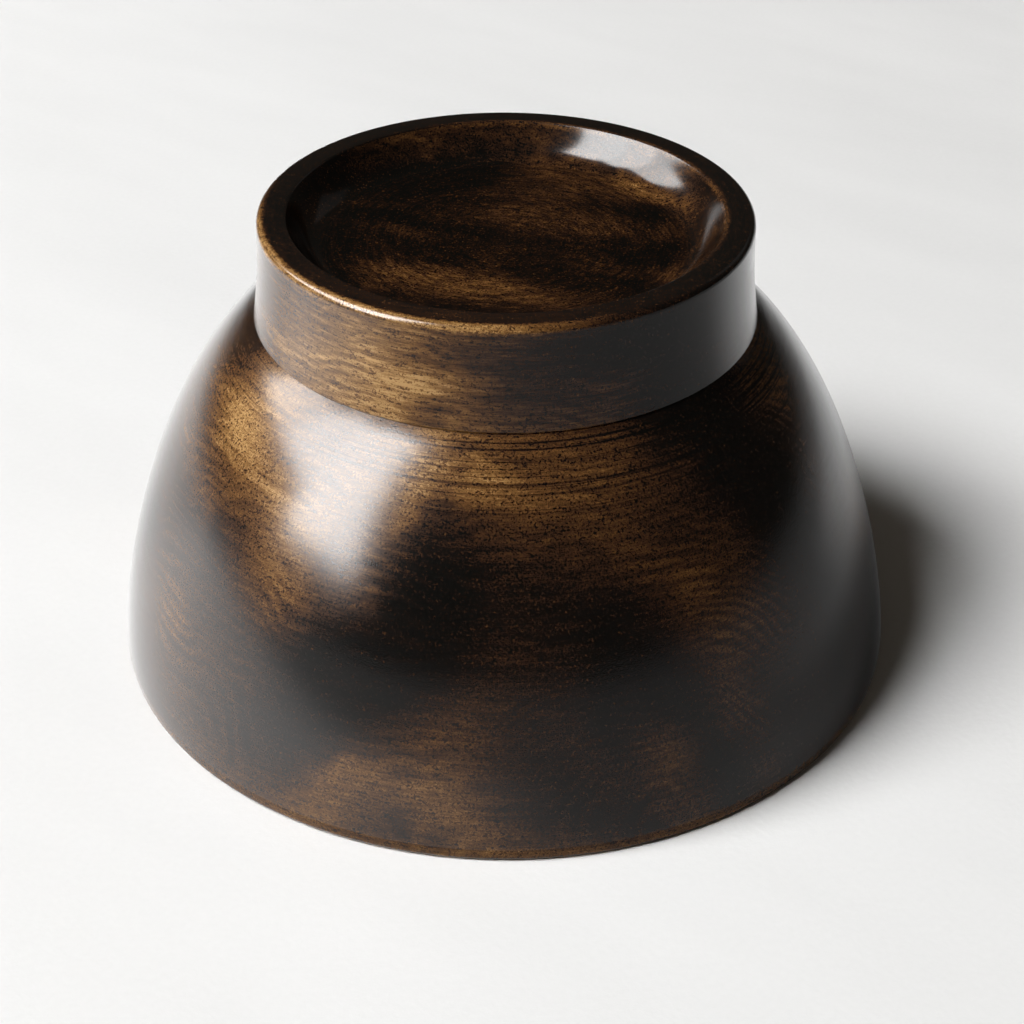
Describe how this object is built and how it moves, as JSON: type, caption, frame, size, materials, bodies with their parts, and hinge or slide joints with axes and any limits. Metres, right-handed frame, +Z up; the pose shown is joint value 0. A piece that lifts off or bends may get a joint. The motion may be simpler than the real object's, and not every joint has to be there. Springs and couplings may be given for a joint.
{
  "type": "lacquer bowl",
  "caption": "Turned wooden soup bowl in translucent brown lacquer with black shading, on a ring foot with a dished recess, standing upside down on its rim.",
  "frame": {"origin": "centre of the rim plane, on which the upturned bowl stands", "axes": "+Z up along the bowl's axis, from rim to foot; X and Y level and alike by symmetry"},
  "size_m": [0.121, 0.121, 0.07],
  "materials": {
    "wood": "bare turned hardwood, hidden under lacquer",
    "glue": "dark lacquer paste",
    "brown_lacquer": "translucent brown lacquer over grain, black cloud shading",
    "foot_lacquer": "translucent grey-brown lacquer with turning lines",
    "rim_lacquer": "brown lacquer, rubbed reddish at the edge",
    "black_lacquer": "black lacquer, rubbed through to gold on its edges",
    "recess_lacquer": "translucent dark brown lacquer over banded grain"
  },
  "bodies": {
    "root": {"bowl_body": "wood", "foot_ring": "wood", "foot_glue_film": "glue", "inside_coat": "brown_lacquer", "rim_coat": "rim_lacquer", "outside_coat": "brown_lacquer", "foot_wall_coat": "foot_lacquer", "foot_rest_coat": "black_lacquer", "foot_recess_coat": "recess_lacquer"}
  },
  "joints": []
}
